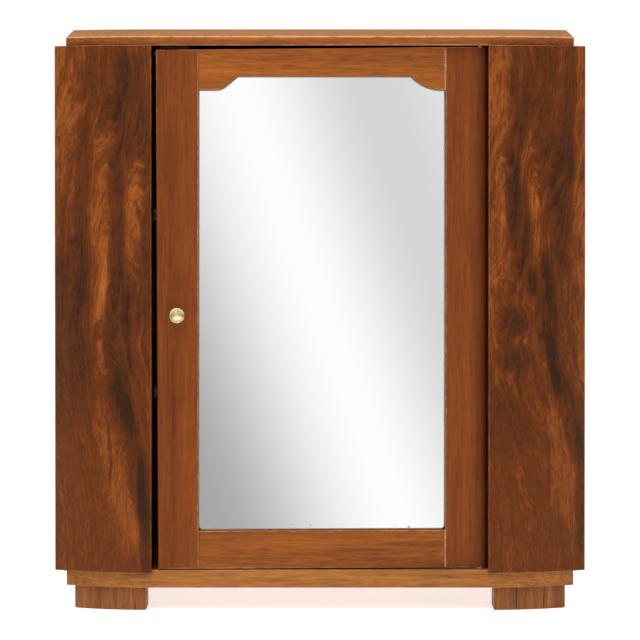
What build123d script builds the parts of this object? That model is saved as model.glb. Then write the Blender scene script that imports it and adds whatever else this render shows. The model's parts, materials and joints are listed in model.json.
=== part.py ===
"""Small walnut medicine cabinet with a mirror door, after the 1930s style.

A box of plain boards stands on four blocks. Two bow-fronted pilasters flank an inset, framed mirror door
that turns on brass pins let into the boards above and below it. Millimetres. X runs to the right, Y to the
back and Z up, with the origin on the floor below the middle of the whole. Places across the cabinet are x,
places from front to back are depths behind the pilasters' front, and heights are z. The door is drawn
closed and then turned by AJAR, the angle at which it stands at rest.
"""

import math
import os

from build123d import *

# ---- the box -----------------------------------------------------------------------------------
HEIGHT = 502.0
WIDTH = 460.0  # across the two pilasters
DEPTH = 190.0  # from the pilasters' front to the rear of the back panel
OPENING_W = 290.0  # between the pilasters
FOOT_H = 20.3
BASE_T = 15.7
TOP_T = 14.0
TOP_CHAMFER = 6.5
BOARD_W = 440.0  # top and base boards
BOARD_SETBACK = 5.0  # their front edge behind the pilasters' front
BOW_R = 168.0  # radius of the pilasters' bowed face
PILASTER_T = 34.0  # thickness at the door
PILASTER_ARRIS = 1.2
PILASTER_LAP = 2.6  # how far their facing hangs over the edge of the base board
SIDE_T = 18.0
SIDE_INSET = 3.0  # side panels inside the ends of the boards
BACK_T = 5.0
BACK_REBATE = 7.0
EASED = 0.8  # rounding of the wooden arrises
ROOM = 0.2  # between wooden pieces that only lie in one another
FIT = 0.05  # round a dowel, a screw or a pin

FOOT_W = 63.0
FOOT_L = 32.0
REAR_FOOT_STEP = 10.0  # the rear feet are this much narrower on their inner side
FOOT_INSET = 6.0  # feet inside the base board's outline
FOOT_SIDE_INSET = 7.0  # and inside its ends
FOOT_CORNER_R = 1.5
FOOT_ARRIS = 1.6

BATTEN = 18.0  # square corner battens behind the pilasters
SHELF_LEVELS = {"lower": 180.0, "upper": 336.0}  # undersides
SHELF_T = 10.0
SHELF_FRONT = 54.0  # depth of the shelves' front edge
SHELF_NOSE = 2.0
CLEAT = 12.0
CLEAT_END = 6.0  # cleats stop short of the shelf's ends
STOP = 12.0  # door stops' height and thickness
STOP_W = 25.0
STOP_INSET = 6.0

# ---- dowels and screws -------------------------------------------------------------------------
DOWEL_R = 4.0
DOWEL_IN_UPRIGHT = 18.0
DOWEL_COVER = 5.0  # wood left over a dowel's end in the board
DOWEL_END = 0.8
SIDE_DOWELS = (75.0, 120.0, 165.0)  # depths
PILASTER_DOWELS = ((163.0, 20.0), (197.0, 22.0))  # x and depth

# screws: radius of the head, radius of the shank, length
FOOT_SCREW = (3.6, 1.8, 25.0)
BATTEN_SCREW = (3.4, 1.6, 32.0)
CLEAT_SCREW = (3.2, 1.5, 24.0)
BACK_SCREW = (2.6, 1.1, 16.0)
STOP_SCREW = (2.8, 1.3, 20.0)
PIVOT_SCREW = (2.6, 1.2, 12.0)
KNOB_SCREW = (3.4, 1.6, 25.0)
STRIKE_SCREW = (2.0, 0.9, 10.0)
HANGER_SCREW = (2.6, 1.2, 18.0)
HEAD_ROOM = 0.5  # open above a sunk head
FOOT_SCREW_SUNK = 1.0
FOOT_SCREW_INSET = 18.0
FOOT_SCREW_DEPTHS = {"front": (26.0, 33.0), "rear": (160.0, 176.0)}
BATTEN_SCREW_LEVELS = (86.0, 264.0, 438.0)
BATTEN_SCREW_STEP = 26.0  # between the screws into the side and those into the pilaster
CLEAT_SCREW_DEPTHS = (85.0, 155.0)
BACK_SCREW_LEVELS = (52.0, 160.0, 268.0, 376.0, 472.0)
BACK_SCREW_X = (-110.0, 0.0, 110.0)

# ---- the door ----------------------------------------------------------------------------------
AJAR = 2.0  # degrees the door stands open at rest
DOOR_T = 18.0
DOOR_SETBACK = 12.5  # closed door's face behind the pilasters' front
DOOR_GAP = 1.0  # above and below the door at its hinge
HINGE_CLEARANCE = 0.4
HINGE_EDGE_R = 6.0  # rounding of the hinge edge, about the pivot
KNOB_GAP_TOP = 3.5  # gap beside the door on its free side, at the top and at the bottom
KNOB_GAP_BOTTOM = 5.2
TOP_EDGE_DROP = 3.0  # the planed top edge falls this much towards the free side
STILE_W = 36.3
RAIL_BOTTOM_H = 32.5
ARCH_Z = 461.7  # underside of the top rail between its ears
EAR_Z = 450.0  # underside of the ears
EAR_FREE_FLAT = 16.0  # the free-side ear: a flat, a tight curve, then a slope
EAR_FREE_R = 11.4
EAR_FREE_SLOPE = 40.0
EAR_HINGE_FLAT = 3.5  # the hinge-side ear: a short flat and one long curve
EAR_HINGE_R = 35.0
TENON_FRONT = 2.5  # tenons behind the door's face
TENON_T = 6.0
TENON_L = 18.0
TENON_LEVELS = ((51.0, 65.5), (454.0, 472.7))
REBATE_W = 8.0

MIRROR_SETBACK = 6.0  # glass behind the door's face
MIRROR_T = 4.0
MIRROR_ROOM = 0.3  # between the glass and the frame
MIRROR_CORNER_R = 3.0
MIRROR_ARRIS = 1.0
BACKING_T = 4.0
BEAD_W = 7.0
PIN_R = 0.6
PIN_L = 14.0
PIN_FROM_CORNER = (25.0, 30.0)  # along the short beads and along the long ones
PIN_FROM_MIDDLE = 60.0  # along the long beads

# ---- the door's fittings -----------------------------------------------------------------------
PIVOT_R = 2.5
PIVOT_L = 7.0
PIVOT_BORE_ROOM = 0.5
PIVOT_PLATE = (26.0, 4.6, 2.0)  # length, half width and thickness
PIVOT_SCREW_REACH = (11.0, 21.0)
WASHER_R = 4.6

KNOB_X = -123.5
KNOB_Z = 256.0
KNOB_L = 13.2
KNOB_R = 6.5
KNOB_NECK = 2.8
KNOB_FOOT = 4.6
KNOB_THREAD = 7.1  # length of the knob's threaded bore

CATCH_X = -129.0
BALL_R = 3.0
BALL_PROUD = 0.7
SPRING_TOP = 49.0
BARREL_R = 4.2
BARREL_FLANGE = (5.5, 1.0)  # radius and thickness
SPRING_WIRE_R = 0.25
SPRING_R = 2.2
SPRING_TURNS = 5
SPRING_DIP = 0.6  # the spring's end reaches this far down round the ball
STRIKE = (28.0, 11.0, 1.0)  # length, width and thickness
STRIKE_CORNER_R = 4.0
STRIKE_SHIFT = 1.0
STRIKE_SCREW_REACH = 9.0
DIMPLE_DEPTH = 1.2

# ---- the hanging plates ------------------------------------------------------------------------
HANGER = (10.0, 42.0, 1.5)  # width, height and thickness
HANGER_CORNER_R = 2.5
HANGER_Z = 454.0
HANGER_HOLE_R = 3.5
HANGER_HOLE_DROP = 3.0  # hole below the plate's middle
HANGER_SLOT_R = 1.8
HANGER_SLOT_L = 9.0
HANGER_SCREW_REACH = 16.5
HANGER_ROOM = (8.4, 20.0, 9.0)  # hollow behind the plate: width, height and depth

# ---- places worked out from them ---------------------------------------------------------------
BODY_LOW = FOOT_H + BASE_T
BODY_HIGH = HEIGHT - TOP_T
HALF_OPENING = OPENING_W / 2
HALF_WIDTH = WIDTH / 2
HALF_BOARD = BOARD_W / 2
SIDE_OUT = HALF_BOARD - SIDE_INSET
SIDE_IN = SIDE_OUT - SIDE_T
FOOT_OUT = HALF_BOARD - FOOT_SIDE_INSET
FOOT_IN = FOOT_OUT - FOOT_W

DOOR_FACE = DOOR_SETBACK
DOOR_MIDDLE = DOOR_FACE + DOOR_T / 2
DOOR_REAR = DOOR_FACE + DOOR_T
DOOR_RIGHT = HALF_OPENING - HINGE_CLEARANCE
PIVOT_X = DOOR_RIGHT - HINGE_EDGE_R
PIVOT_DEPTH = DOOR_FACE + HINGE_EDGE_R
DOOR_LOW = BODY_LOW + DOOR_GAP
DOOR_TOP_HINGE = BODY_HIGH - DOOR_GAP
DOOR_TOP_FREE = DOOR_TOP_HINGE - TOP_EDGE_DROP
DOOR_LEFT_TOP = -HALF_OPENING + KNOB_GAP_TOP
DOOR_LEFT_BOTTOM = -HALF_OPENING + KNOB_GAP_BOTTOM
SIGHT_LEFT = DOOR_LEFT_TOP + STILE_W
SIGHT_RIGHT = DOOR_RIGHT - STILE_W
SIGHT_LOW = DOOR_LOW + RAIL_BOTTOM_H
REBATE_X = (SIGHT_LEFT - REBATE_W, SIGHT_RIGHT + REBATE_W)
REBATE_Z = (SIGHT_LOW - REBATE_W, ARCH_Z + REBATE_W)
MIRROR_FACE = DOOR_FACE + MIRROR_SETBACK
BACKING_FACE = MIRROR_FACE + MIRROR_T
BEAD_FACE = BACKING_FACE + BACKING_T
BALL_Z = DOOR_LOW - BALL_PROUD + BALL_R

HANGER_X = SIDE_OUT - (SIDE_T - BACK_REBATE) / 2
REAR_DEPTH = DEPTH + HANGER[2]
TURN = math.radians(AJAR)
KNOB_OUT = (HINGE_EDGE_R + KNOB_L) * math.cos(TURN) + (PIVOT_X - KNOB_X) * math.sin(TURN)
KNOB_NOSE = KNOB_OUT - PIVOT_DEPTH  # how far the knob stands in front of the pilasters
FRONT_Y = -(REAR_DEPTH - KNOB_NOSE) / 2  # the pilasters' front plane, with the origin below the middle

HANDS = ((1, "right"), (-1, "left"))
FORWARD, BACKWARD, UP, DOWN = (0, -1, 0), (0, 1, 0), (0, 0, 1), (0, 0, -1)

parts = {}
door_nodes = set()


# ---- helpers -----------------------------------------------------------------------------------
def block(x, depth, z):
    """A box between two values of x, of depth and of z."""
    size = (x[1] - x[0], depth[1] - depth[0], z[1] - z[0])
    middle = (sum(x) / 2, FRONT_Y + sum(depth) / 2, sum(z) / 2)
    return Pos(*middle) * Box(*size)


def from_plan(outline, low, high):
    """Raises a closed outline, drawn as x and depth, from one level to another."""
    return Pos(0, FRONT_Y, low) * extrude(make_face(outline), high - low)


def from_front(outline, front, rear):
    """Gives a face, drawn as x and z, its thickness between two depths."""
    plane = Plane(origin=(0, FRONT_Y + rear, 0), x_dir=(1, 0, 0), z_dir=FORWARD)
    return plane.location * extrude(outline, rear - front)


def turned(profile):
    """Revolves a closed outline, drawn as radius and height, about the upright axis."""
    return revolve(Plane.XZ * make_face(profile), Axis.Z)


def mirrored(shape):
    """The same piece for the left-hand side."""
    return mirror(shape, about=Plane.YZ)


def ease(edges, radius=EASED):
    """Rounds the wooden arrises of the piece that these edges belong to."""
    return fillet(edges, radius)


def placed(shape, at, out):
    """Puts a piece drawn with its face at z = 0 so that the face looks along out."""
    x, depth, z = at
    return Plane(origin=(x, FRONT_Y + depth, z), z_dir=out).location * shape


def rims(cylinder):
    """The two round edges of a cylinder, the lower one first."""
    return cylinder.edges().filter_by(GeomType.CIRCLE).sort_by(Axis.Z)


def slotted_screw(head_r, shank_r, length):
    """A countersunk wood screw with its head's face at z = 0 and its point at z = -length."""
    head_h = head_r - shank_r
    tip = 2.2 * shank_r
    body = turned(
        Polyline((0, 0), (head_r, 0), (shank_r, -head_h), (shank_r, tip - length), (0, -length), close=True)
    )
    slot = Pos(0, 0, -head_h / 4) * Box(2.2 * head_r, 0.22 * head_r, head_h / 2)
    return body - slot


def screw_hole(head_r, shank_r, length, sunk):
    """The hole that a screw fills, open for a little above its head."""
    wide, narrow = head_r + FIT, shank_r + FIT
    points = [
        (0, sunk),
        (wide, sunk),
        (wide, 0),
        (narrow, shank_r - head_r),
        (narrow, 2.2 * shank_r - length),
        (0, -length - FIT),
    ]
    return turned(Polyline(*points, close=True))


def drill(cutter, names):
    """Takes a hole out of each named piece."""
    for name in names:
        parts[name] -= cutter


def drive(group, size, places, sunk=HEAD_ROOM):
    """Adds a group of screws. Each place is (position, way the head faces, pieces it holds)."""
    screws = []
    for at, out, names in places:
        screws.append(placed(slotted_screw(*size), at, out))
        drill(placed(screw_hole(*size, sunk), at, out), names)
    parts[group] = Compound(screws)


def bow_point(radius, x):
    """Depth, at x, of the bow of this radius about the pilasters' centre of curvature."""
    return (x, BOW_R - math.sqrt(radius**2 - (x - HALF_OPENING) ** 2))


def bow_arc(radius, x_from, x_to):
    """An arc of the bow in plan."""
    middle = (x_from + x_to) / 2
    return ThreePointArc(bow_point(radius, x_from), bow_point(radius, middle), bow_point(radius, x_to))


# ---- the box -----------------------------------------------------------------------------------
def board_outline():
    """Plan of the top and base boards: a straight front whose ends follow the pilasters' bow."""
    radius = BOW_R - BOARD_SETBACK
    right = bow_arc(radius, HALF_OPENING, HALF_BOARD)
    corner = bow_point(radius, HALF_BOARD)
    return [
        Line((-HALF_OPENING, BOARD_SETBACK), (HALF_OPENING, BOARD_SETBACK)),
        right,
        Polyline(corner, (HALF_BOARD, DEPTH), (-HALF_BOARD, DEPTH), (-corner[0], corner[1])),
        mirrored(right),
    ]


def exposed(edges):
    """Leaves out the edges that lie along the back."""
    return [edge for edge in edges if edge.center().Y < FRONT_Y + DEPTH - ROOM]


def top_board():
    board = from_plan(board_outline(), BODY_HIGH, HEIGHT)
    board = chamfer(exposed(board.faces().sort_by(Axis.Z)[-1].edges()), TOP_CHAMFER)
    level = HEIGHT - TOP_CHAMFER
    arris = [edge for edge in exposed(board.edges()) if math.isclose(edge.center().Z, level)]
    return ease(arris, EASED / 2)


def base_board():
    board = from_plan(board_outline(), FOOT_H, BODY_LOW)
    faces = board.faces().sort_by(Axis.Z)
    return ease(exposed(faces[-1].edges()) + exposed(faces[0].edges()))


def side_panel():
    """A plain board with a rebate along its rear edge for the back panel."""
    levels = (BODY_LOW, BODY_HIGH)
    rebate = block((SIDE_IN, SIDE_IN + BACK_REBATE), (DEPTH - BACK_T, DEPTH), levels)
    return block((SIDE_IN, SIDE_OUT), (PILASTER_T, DEPTH), levels) - rebate


def board_seat():
    """Room for the base board behind the lapping face of the right-hand pilaster."""
    radius = BOW_R - BOARD_SETBACK + ROOM
    inner, outer = (HALF_OPENING - 1, BOARD_SETBACK - ROOM), bow_point(radius, HALF_WIDTH + 1)
    seat = [
        Line(inner, bow_point(radius, HALF_OPENING)),
        bow_arc(radius, HALF_OPENING, HALF_WIDTH + 1),
        Polyline(outer, (outer[0], PILASTER_T + 1), (inner[0], PILASTER_T + 1), inner),
    ]
    return from_plan(seat, FOOT_H, BODY_LOW)


def pilaster():
    """A thick upright with a flat back and a bowed face that laps over the base board's edge."""
    outer = bow_point(BOW_R, HALF_WIDTH)
    outline = [
        bow_arc(BOW_R, HALF_OPENING, HALF_WIDTH),
        Polyline(outer, (HALF_WIDTH, PILASTER_T), (HALF_OPENING, PILASTER_T), (HALF_OPENING, 0)),
    ]
    upright = from_plan(outline, BODY_LOW - PILASTER_LAP, BODY_HIGH)
    upright = ease(upright.edges().filter_by(Axis.Z).sort_by(Axis.Y)[:2], PILASTER_ARRIS)
    bowed = upright.faces().sort_by(Axis.Y)[0]
    upright = ease([edge for edge in bowed.edges() if edge.bounding_box().size.Z < ROOM], EASED / 2)
    return upright - board_seat()


def back_panel():
    reach = SIDE_IN + BACK_REBATE - ROOM
    return block((-reach, reach), (DEPTH - BACK_T, DEPTH), (BODY_LOW + ROOM, BODY_HIGH - ROOM))


def eased_foot(foot):
    foot = ease(foot.edges().filter_by(Axis.Z), FOOT_CORNER_R)
    return ease(foot.faces().sort_by(Axis.Z)[0].edges(), FOOT_ARRIS)


def front_foot():
    """A block whose front follows the bow."""
    radius = BOW_R - BOARD_SETBACK - FOOT_INSET
    inner, outer = bow_point(radius, FOOT_IN), bow_point(radius, FOOT_OUT)
    rear = BOARD_SETBACK + FOOT_INSET + FOOT_L
    outline = [
        bow_arc(radius, FOOT_IN, FOOT_OUT),
        Polyline(outer, (FOOT_OUT, rear), (FOOT_IN, rear), inner),
    ]
    return eased_foot(from_plan(outline, 0, FOOT_H))


def rear_foot():
    rear = DEPTH - FOOT_INSET
    return eased_foot(block((FOOT_IN + REAR_FOOT_STEP, FOOT_OUT), (rear - FOOT_L, rear), (0, FOOT_H)))


def corner_batten():
    return block((SIDE_IN - BATTEN, SIDE_IN), (PILASTER_T, PILASTER_T + BATTEN), (BODY_LOW, BODY_HIGH))


def shelf(level):
    half = SIDE_IN - ROOM
    board = block((-half, half), (SHELF_FRONT, DEPTH - BACK_T - ROOM), (level, level + SHELF_T))
    return ease(board.edges().filter_by(Axis.X).sort_by(Axis.Y)[:2], SHELF_NOSE)


def cleat(level):
    """A rail that carries one end of a shelf, with its inner front corner cut off."""
    depth = (SHELF_FRONT + CLEAT_END, DEPTH - BACK_T - CLEAT_END)
    rail = block((SIDE_IN - CLEAT, SIDE_IN), depth, (level - CLEAT, level))
    front = rail.edges().filter_by(Axis.Z).sort_by(Axis.Y)[:2]
    return chamfer(front.sort_by(Axis.X)[:1], CLEAT / 2)


def door_stop(low):
    """A block that the closed door's free side rests against."""
    left = STOP_INSET - HALF_OPENING
    rear = DOOR_REAR + ROOM
    return block((left, left + STOP_W), (rear, rear + STOP), (low, low + STOP))


def dowels(group, board, level, in_board, up):
    """Beech dowels between a board and the panels and pilasters that meet it at this level."""
    below, above = (DOWEL_IN_UPRIGHT, in_board) if up else (in_board, DOWEL_IN_UPRIGHT)
    length = below + above
    side_x = (SIDE_IN + SIDE_OUT) / 2
    spots = [(side_x, depth, "side_panel") for depth in SIDE_DOWELS]
    spots += [(x, depth, "pilaster") for x, depth in PILASTER_DOWELS]
    pegs = []
    for x, depth, upright in spots:
        for sign, hand in HANDS:
            at = Pos(sign * x, FRONT_Y + depth, level + (above - below) / 2)
            pegs.append(chamfer(rims(at * Cylinder(DOWEL_R, length)), DOWEL_END))
            drill(at * Cylinder(DOWEL_R + FIT, length + 2 * ROOM), [board, f"{upright}_{hand}"])
    parts[group] = Compound(pegs)


def add_box():
    parts["top_board"] = top_board()
    parts["base_board"] = base_board()
    parts["back_panel"] = back_panel()
    handed = {
        "side_panel": side_panel(),
        "pilaster": pilaster(),
        "foot_front": front_foot(),
        "foot_rear": rear_foot(),
        "corner_batten": corner_batten(),
    }
    for name, level in SHELF_LEVELS.items():
        parts[f"shelf_{name}"] = shelf(level)
        handed[f"shelf_cleat_{name}"] = cleat(level)
    for name, piece in handed.items():
        parts[f"{name}_right"] = piece
        parts[f"{name}_left"] = mirrored(piece)
    parts["door_stop_lower"] = door_stop(BODY_LOW)
    parts["door_stop_upper"] = door_stop(BODY_HIGH - STOP)
    dowels("top_dowels", "top_board", BODY_HIGH, TOP_T - DOWEL_COVER, up=True)
    dowels("base_dowels", "base_board", BODY_LOW, BASE_T - DOWEL_COVER, up=False)


def foot_screw_places(sign, hand):
    """Two screws up through each foot into the base board."""
    places = []
    for end, depths in FOOT_SCREW_DEPTHS.items():
        for depth, x in zip(depths, (FOOT_IN + FOOT_SCREW_INSET, FOOT_OUT - FOOT_SCREW_INSET)):
            places.append(((sign * x, depth, FOOT_SCREW_SUNK), DOWN, [f"foot_{end}_{hand}", "base_board"]))
    return places


def batten_screw_places(sign, hand):
    """Screws that hold each batten to the side panel and draw the pilaster up to it."""
    batten = f"corner_batten_{hand}"
    rear = PILASTER_T + BATTEN
    inner, middle = sign * (SIDE_IN - BATTEN), sign * (SIDE_IN - BATTEN / 2)
    places = []
    for z in BATTEN_SCREW_LEVELS:
        side_at = (inner, rear - BATTEN / 2, z)
        places.append((side_at, (-sign, 0, 0), [batten, f"side_panel_{hand}"]))
        places.append(((middle, rear, z + BATTEN_SCREW_STEP), BACKWARD, [batten, f"pilaster_{hand}"]))
    return places


def cleat_screw_places(sign, hand):
    """Two screws through each shelf cleat."""
    places = []
    for name, level in SHELF_LEVELS.items():
        pieces = [f"shelf_cleat_{name}_{hand}", f"side_panel_{hand}"]
        for depth in CLEAT_SCREW_DEPTHS:
            at = (sign * (SIDE_IN - CLEAT), depth, level - CLEAT / 2)
            places.append((at, (-sign, 0, 0), pieces))
    return places


def back_screw_places():
    """Screws round the back panel and through it into the shelves."""
    places = []
    for sign, hand in HANDS:
        x = sign * (SIDE_IN + BACK_REBATE / 2)
        for z in BACK_SCREW_LEVELS:
            places.append(((x, DEPTH, z), BACKWARD, ["back_panel", f"side_panel_{hand}"]))
    for name, level in SHELF_LEVELS.items():
        for x in BACK_SCREW_X:
            places.append(((x, DEPTH, level + SHELF_T / 2), BACKWARD, ["back_panel", f"shelf_{name}"]))
    return places


def stop_screw_places():
    """One screw through each door stop into the board that it stands on or hangs from."""
    x = STOP_INSET + STOP_W / 2 - HALF_OPENING
    depth = DOOR_REAR + ROOM + STOP / 2
    return [
        ((x, depth, BODY_LOW + STOP), UP, ["door_stop_lower", "base_board"]),
        ((x, depth, BODY_HIGH - STOP), DOWN, ["door_stop_upper", "top_board"]),
    ]


def add_box_screws():
    def both(places):
        return [place for sign, hand in HANDS for place in places(sign, hand)]

    drive("foot_screws", FOOT_SCREW, both(foot_screw_places), sunk=FOOT_SCREW_SUNK + ROOM)
    drive("corner_batten_screws", BATTEN_SCREW, both(batten_screw_places))
    drive("shelf_cleat_screws", CLEAT_SCREW, both(cleat_screw_places))
    drive("back_panel_screws", BACK_SCREW, back_screw_places())
    drive("door_stop_screws", STOP_SCREW, stop_screw_places())


# ---- the door ----------------------------------------------------------------------------------
def door_top(x):
    """Level of the door's planed top edge at x."""
    share = (x - DOOR_LEFT_TOP) / (DOOR_RIGHT - DOOR_LEFT_TOP)
    return DOOR_TOP_FREE + share * TOP_EDGE_DROP


def sight_outline():
    """The opening that shows the mirror: square below, with a shaped ear in each upper corner."""
    flat = SIGHT_LEFT + EAR_FREE_FLAT
    hinge_flat = SIGHT_RIGHT - EAR_HINGE_FLAT

    def free_ear(degrees):
        turn = math.radians(degrees)
        return (flat + EAR_FREE_R * math.sin(turn), EAR_Z + EAR_FREE_R * (1 - math.cos(turn)))

    def hinge_ear(run):
        return (hinge_flat - run, EAR_Z + EAR_HINGE_R - math.sqrt(EAR_HINGE_R**2 - run**2))

    bend = free_ear(EAR_FREE_SLOPE)
    crest = (bend[0] + (ARCH_Z - bend[1]) / math.tan(math.radians(EAR_FREE_SLOPE)), ARCH_Z)
    run = math.sqrt(EAR_HINGE_R**2 - (EAR_HINGE_R - ARCH_Z + EAR_Z) ** 2)
    corners = [
        (flat, EAR_Z),
        (SIGHT_LEFT, EAR_Z),
        (SIGHT_LEFT, SIGHT_LOW),
        (SIGHT_RIGHT, SIGHT_LOW),
        (SIGHT_RIGHT, EAR_Z),
        (hinge_flat, EAR_Z),
    ]
    outline = [
        Polyline(*corners),
        ThreePointArc(hinge_ear(0), hinge_ear(run / 2), hinge_ear(run)),
        Polyline(hinge_ear(run), crest, bend),
        ThreePointArc(bend, free_ear(EAR_FREE_SLOPE / 2), free_ear(0)),
    ]
    return make_face(outline)


def door_face(*corners):
    """A straight-sided face of the frame, drawn as x and z."""
    return make_face(Polyline(*corners, close=True))


def tenons():
    """The four tenons' solids: added to the rails and taken out of the stiles."""
    depth = (DOOR_FACE + TENON_FRONT, DOOR_FACE + TENON_FRONT + TENON_T)
    sides = ((SIGHT_LEFT - TENON_L, SIGHT_LEFT), (SIGHT_RIGHT, SIGHT_RIGHT + TENON_L))
    return [[block(x, depth, z) for x in sides] for z in TENON_LEVELS]


def knob_stile():
    """The free-side stile, planed out of square along its edge and its top."""
    face = door_face(
        (DOOR_LEFT_BOTTOM, DOOR_LOW),
        (SIGHT_LEFT, DOOR_LOW),
        (SIGHT_LEFT, door_top(SIGHT_LEFT)),
        (DOOR_LEFT_TOP, DOOR_TOP_FREE),
    )
    stile = from_front(face, DOOR_FACE, DOOR_REAR)
    front = stile.edges().group_by(Axis.Y)[0]
    return ease([edge for edge in front if edge.center().X < SIGHT_LEFT - ROOM])


def hinge_stile():
    """The stile whose front edge is rounded about the pivot, so that it turns clear of the pilaster."""
    middle = HINGE_EDGE_R * math.sin(math.radians(45))
    plan = [
        Line((SIGHT_RIGHT, DOOR_FACE), (PIVOT_X, DOOR_FACE)),
        ThreePointArc(
            (PIVOT_X, DOOR_FACE), (PIVOT_X + middle, PIVOT_DEPTH - middle), (DOOR_RIGHT, PIVOT_DEPTH)
        ),
        Polyline(
            (DOOR_RIGHT, PIVOT_DEPTH),
            (DOOR_RIGHT, DOOR_REAR),
            (SIGHT_RIGHT, DOOR_REAR),
            (SIGHT_RIGHT, DOOR_FACE),
        ),
    ]
    return from_plan(plan, DOOR_LOW, door_top(SIGHT_RIGHT))


def bottom_rail():
    rail = block((SIGHT_LEFT, SIGHT_RIGHT), (DOOR_FACE, DOOR_REAR), (DOOR_LOW, SIGHT_LOW))
    return ease(rail.edges().filter_by(Axis.X).group_by(Axis.Y)[0], EASED / 2)


def top_rail():
    """The rail whose underside is sawn to the two ears."""
    face = door_face(
        (SIGHT_LEFT, EAR_Z),
        (SIGHT_RIGHT, EAR_Z),
        (SIGHT_RIGHT, door_top(SIGHT_RIGHT)),
        (SIGHT_LEFT, door_top(SIGHT_LEFT)),
    )
    return from_front(face - sight_outline(), DOOR_FACE, DOOR_REAR)


def add_frame():
    """Two stiles with the rails tenoned between them, rebated behind for the mirror."""
    lower, upper = tenons()
    frame = {
        "door_stile_knob": knob_stile() - lower - upper,
        "door_stile_hinge": hinge_stile() - lower - upper,
        "door_rail_bottom": bottom_rail() + lower,
        "door_rail_top": top_rail() + upper,
    }
    rebate = block(REBATE_X, (BACKING_FACE, DOOR_REAR + ROOM), REBATE_Z)
    for name, piece in frame.items():
        parts[name] = piece - rebate
    door_nodes.update(frame)


def mirror_glass():
    """A sheet cut to the opening, with rounded lower corners and a ground front arris."""
    face = offset(sight_outline(), -MIRROR_ROOM, kind=Kind.INTERSECTION)
    lower = face.vertices().sort_by(Axis.Y)[:2]
    glass = from_front(Sketch() + fillet(lower, MIRROR_CORNER_R), MIRROR_FACE, BACKING_FACE)
    return chamfer(glass.faces().sort_by(Axis.Y)[0].edges(), MIRROR_ARRIS)


def add_mirror():
    """The glass lies in the opening on a plywood backing, which four pinned beads hold in its rebate."""
    left, right = REBATE_X[0] + ROOM, REBATE_X[1] - ROOM
    low, high = REBATE_Z[0] + ROOM, REBATE_Z[1] - ROOM
    outer = [(left, low), (right, low), (right, high), (left, high)]
    inner = [
        (left + BEAD_W, low + BEAD_W),
        (right - BEAD_W, low + BEAD_W),
        (right - BEAD_W, high - BEAD_W),
        (left + BEAD_W, high - BEAD_W),
    ]
    parts["mirror_glass"] = mirror_glass()
    parts["mirror_backing"] = block((left, right), (BACKING_FACE, BEAD_FACE), (low, high))
    for start, side in enumerate(("bottom", "right", "top", "left")):
        end = (start + 1) % 4
        face = door_face(outer[start], outer[end], inner[end], inner[start])
        parts[f"bead_{side}"] = from_front(face, BEAD_FACE, DOOR_REAR - ROOM)
        door_nodes.add(f"bead_{side}")
    add_bead_pins(inner[0], inner[2])
    door_nodes.update(("mirror_glass", "mirror_backing", "bead_pins"))


def add_bead_pins(low_corner, high_corner):
    """Short pins driven through the beads, in the plane of the door, into the frame."""
    (left, low), (right, high) = low_corner, high_corner
    along_x, along_z = PIN_FROM_CORNER
    centre_x, centre_z = (left + right) / 2, (low + high) / 2
    depth = (BEAD_FACE + DOOR_REAR) / 2
    spots = []
    for z in (low + along_z, centre_z - PIN_FROM_MIDDLE, centre_z + PIN_FROM_MIDDLE, high - along_z):
        spots.append(((left, depth, z), (1, 0, 0), ["bead_left", "door_stile_knob"]))
        spots.append(((right, depth, z), (-1, 0, 0), ["bead_right", "door_stile_hinge"]))
    for x in (left + along_x, centre_x, right - along_x):
        spots.append(((x, depth, low), UP, ["bead_bottom", "door_rail_bottom"]))
        spots.append(((x, depth, high), DOWN, ["bead_top", "door_rail_top"]))
    pins = []
    for at, out, names in spots:
        pins.append(placed(Pos(0, 0, -PIN_L / 2) * Cylinder(PIN_R, PIN_L), at, out))
        drill(placed(Pos(0, 0, -PIN_L / 2) * Cylinder(PIN_R + FIT, PIN_L + 2 * FIT), at, out), names)
    parts["bead_pins"] = Compound(pins)


# ---- the pivots --------------------------------------------------------------------------------
def pivot_plate():
    """A flat plate with a round end about the pivot, lying on z = 0."""
    length, half, thick = PIVOT_PLATE
    plate = Pos(-length / 2, 0, thick / 2) * Box(length, 2 * half, thick)
    return plate + Pos(0, 0, thick / 2) * Cylinder(half, thick)


def pinned_plate():
    """The plate let into a board, with its pin standing out of it."""
    pin = Cylinder(PIVOT_R, PIVOT_L)
    pin = chamfer(rims(pin)[-1:], PIVOT_BORE_ROOM)
    return pivot_plate() + Pos(0, 0, PIVOT_PLATE[2] + PIVOT_L / 2) * pin


def at_pivot(shape, z, turn=0):
    """Puts a fitting on the pivot's axis, upside down where turn is 180."""
    return Pos(PIVOT_X, FRONT_Y + PIVOT_DEPTH, z) * Rot(turn, 0, 0) * shape


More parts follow.
